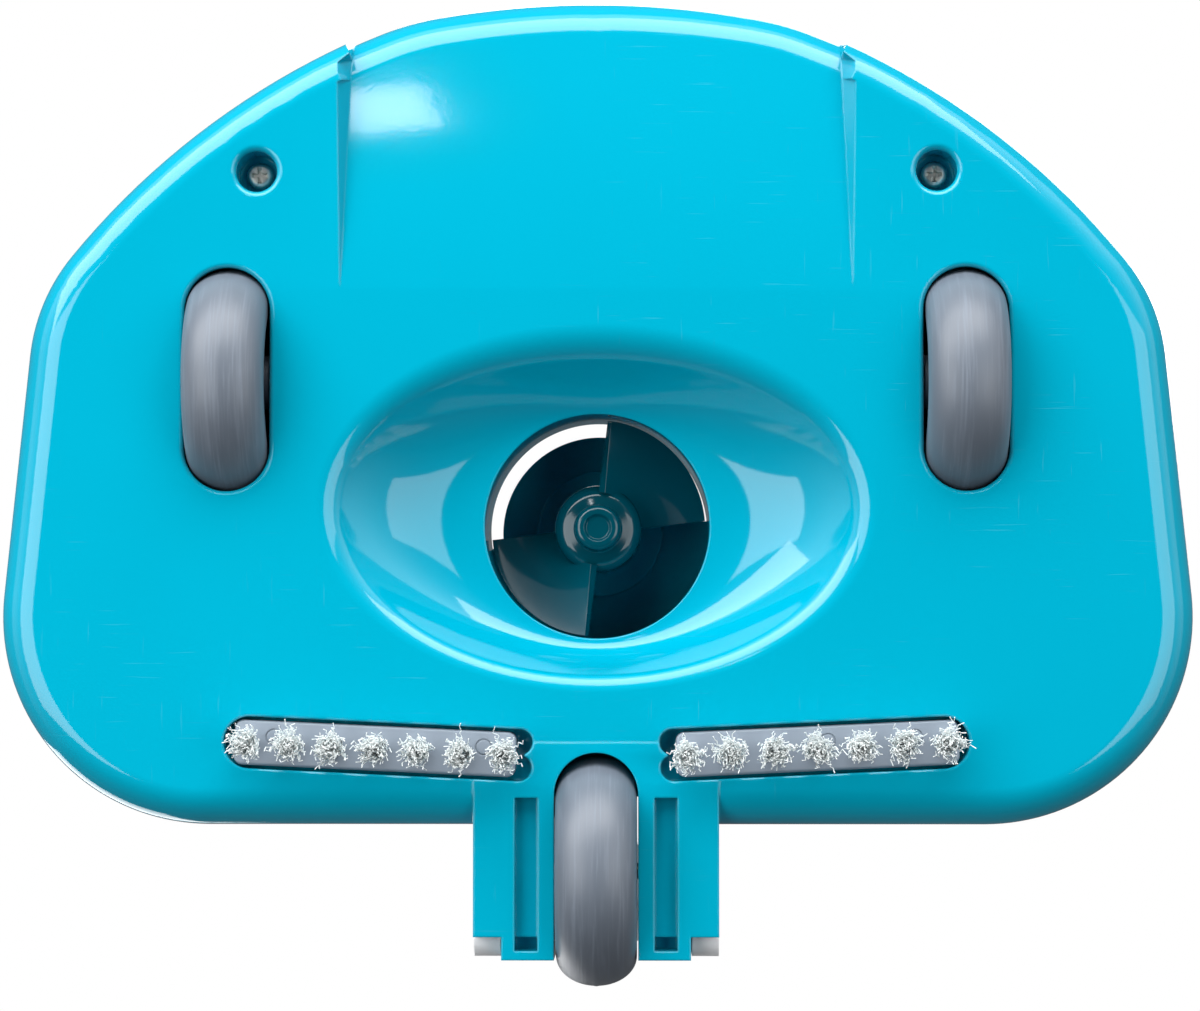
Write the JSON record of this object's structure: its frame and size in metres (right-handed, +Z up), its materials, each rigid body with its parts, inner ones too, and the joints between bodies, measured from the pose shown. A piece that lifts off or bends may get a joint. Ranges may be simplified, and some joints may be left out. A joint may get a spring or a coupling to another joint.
{
  "type": "pool cleaner",
  "caption": "Battery leaf vacuum head for a pool: shaped body with ramp, oval bowl and throat, impeller, rolling wheels, brush strips, outlet ring and a tilting pole yoke.",
  "frame": {"origin": "centre of the whole part's footprint, on the ground that the wheels stand on", "axes": "+X across the width, front lip towards -Y, pole yoke towards +Y, +Z up"},
  "size_m": [0.3028, 0.2526, 0.1521],
  "materials": {
    "turquoise_plastic": "gloss, moulded",
    "white_plastic": "satin, moulded",
    "wheel_grey": "satin, lightly scuffed",
    "plate_grey": "satin, moulded",
    "bristle": "clear crimped nylon",
    "steel": "plain",
    "rubber": "matte",
    "cell_wrap": "shrink sleeve",
    "board": "lacquered",
    "dark_plastic": "satin",
    "red_insulation": "satin"
  },
  "bodies": {
    "head": {"lower_housing": "turquoise_plastic", "top_cover": "turquoise_plastic", "outlet_housing": "turquoise_plastic", "motor_cap": "turquoise_plastic", "battery_lid": "turquoise_plastic", "motor_cap_seal": "rubber", "battery_gasket": "rubber", "shaft_seal": "rubber", "motor_can": "steel", "battery_cell_left": "cell_wrap", "battery_cell_right": "cell_wrap", "circuit_board": "board", "power_switch": "dark_plastic", "charge_jack": "dark_plastic", "charge_cap_pin": "steel", "front_axle_left": "steel", "front_axle_right": "steel", "rear_axle": "steel", "brush_plate_left": "plate_grey", "brush_plate_right": "plate_grey", "underside_screw_left": "steel", "underside_screw_right": "steel", "flange_screw_left": "steel", "flange_screw_right": "steel", "lid_screw_front_left": "steel", "lid_screw_front_right": "steel", "lid_screw_rear_left": "steel", "lid_screw_rear_right": "steel", "yoke_pin_left": "steel", "yoke_pin_right": "steel", "motor_lead_red": "red_insulation", "motor_lead_black": "rubber", "tuft_left_1": "bristle", "tuft_left_2": "bristle", "tuft_left_3": "bristle", "tuft_left_4": "bristle", "tuft_left_5": "bristle", "tuft_left_6": "bristle", "tuft_left_7": "bristle", "tuft_right_1": "bristle", "tuft_right_2": "bristle", "tuft_right_3": "bristle", "tuft_right_4": "bristle", "tuft_right_5": "bristle", "tuft_right_6": "bristle", "tuft_right_7": "bristle"},
    "front_wheel_left": {"front_wheel_left": "wheel_grey"},
    "front_wheel_right": {"front_wheel_right": "wheel_grey"},
    "rear_wheel": {"rear_wheel": "wheel_grey"},
    "rotor": {"impeller": "turquoise_plastic", "motor_shaft": "steel"},
    "yoke": {"pole_yoke": "white_plastic", "clip_spring": "steel"},
    "clip_button_left": {"clip_button_left": "steel"},
    "clip_button_right": {"clip_button_right": "steel"},
    "power_button": {"power_button": "white_plastic"},
    "charge_cap": {"charge_cap": "dark_plastic"}
  },
  "joints": [
    {"name": "front_left_roll", "type": "hinge", "parent": "head", "child": "front_wheel_left", "pos_m": [-0.0937, -0.02768, 0.02915], "axis": [1, 0, 0], "continuous": true},
    {"name": "front_right_roll", "type": "hinge", "parent": "head", "child": "front_wheel_right", "pos_m": [0.0937, -0.02768, 0.02915], "axis": [1, 0, 0], "continuous": true},
    {"name": "rear_roll", "type": "hinge", "parent": "head", "child": "rear_wheel", "pos_m": [0, 0.09713, 0.02915], "axis": [1, 0, 0], "continuous": true},
    {"name": "impeller_spin", "type": "hinge", "parent": "head", "child": "rotor", "pos_m": [0, 0.00893, 0.08], "axis": [0, 0, 1], "continuous": true},
    {"name": "yoke_tilt", "type": "hinge", "parent": "head", "child": "yoke", "pos_m": [0, 0.11303, 0.0275], "axis": [-1, 0, 0], "range_deg": [0, 70]},
    {"name": "clip_left_press", "type": "slide", "parent": "yoke", "child": "clip_button_left", "axis": [1, 0, 0], "range_m": [0, 0.004], "stiffness_N_per_m": 800},
    {"name": "clip_right_press", "type": "slide", "parent": "yoke", "child": "clip_button_right", "axis": [-1, 0, 0], "range_m": [0, 0.004], "stiffness_N_per_m": 800},
    {"name": "power_press", "type": "slide", "parent": "head", "child": "power_button", "axis": [0, 0, -1], "range_m": [0, 0.0015], "stiffness_N_per_m": 1500},
    {"name": "charge_cap_swing", "type": "hinge", "parent": "head", "child": "charge_cap", "pos_m": [0.084, 0.06613, 0.0852], "axis": [0, -1, 0], "range_deg": [0, 110]}
  ]
}
